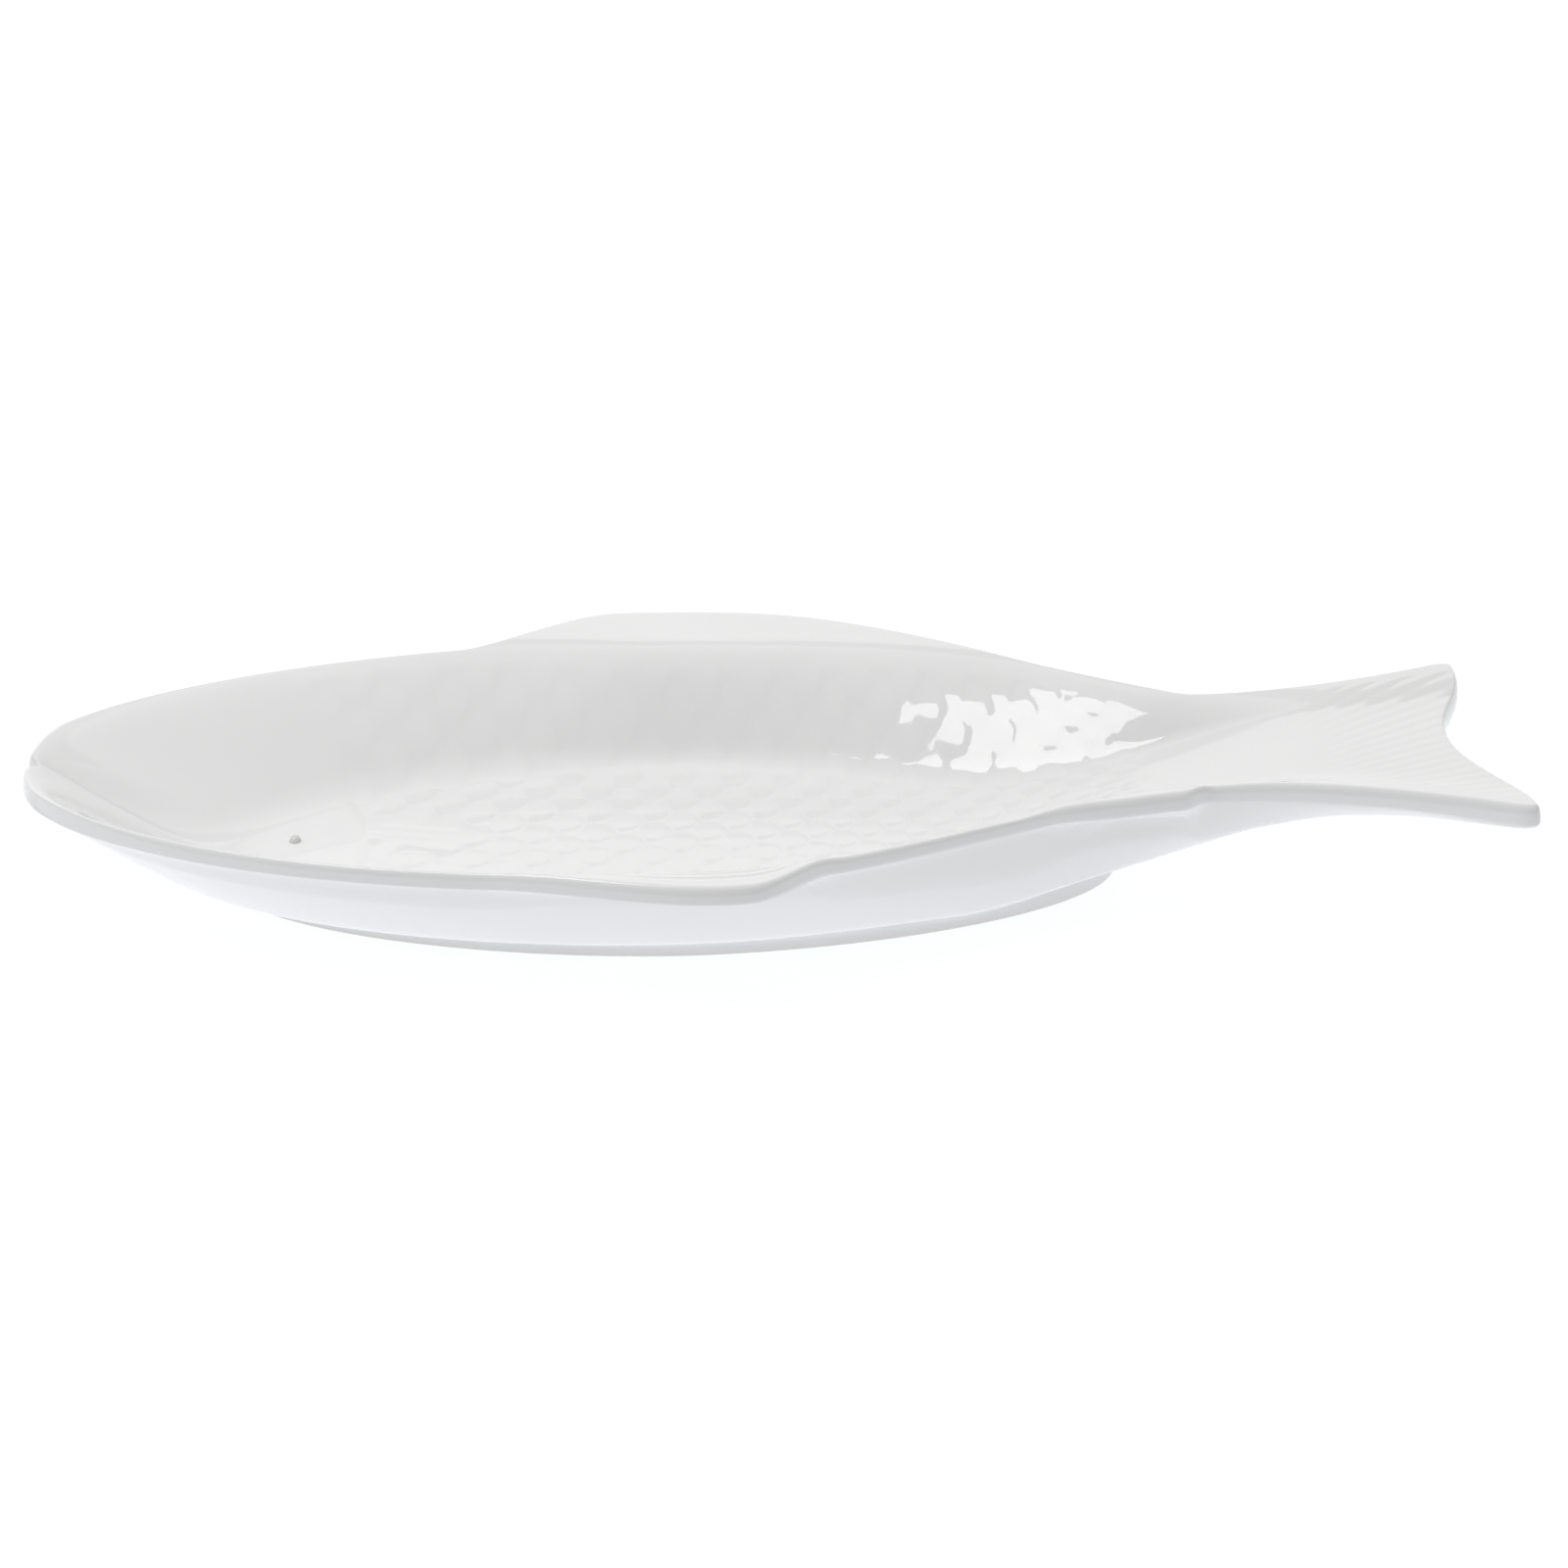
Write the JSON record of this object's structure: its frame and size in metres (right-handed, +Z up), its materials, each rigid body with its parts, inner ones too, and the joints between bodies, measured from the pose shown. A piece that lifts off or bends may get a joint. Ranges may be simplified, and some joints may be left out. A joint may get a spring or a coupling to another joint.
{
  "type": "fish-shaped serving dish",
  "caption": "Fish-shaped white porcelain serving dish: an open bowl with relief scales, fin flanges widening the rim, a ribbed flat tail and a low oval foot ring.",
  "frame": {"origin": "middle of the outline's box, on the plane the foot stands on", "axes": "+X from the snout to the tail, +Y from the belly fins to the back fin, +Z up out of the bowl"},
  "size_m": [0.3416, 0.164, 0.0344],
  "materials": {
    "glaze": "gloss",
    "foot": "satin",
    "eye": "gloss"
  },
  "bodies": {
    "root": {"dish_body": "glaze", "foot_ring": "foot", "eye_bead": "eye"}
  },
  "joints": []
}
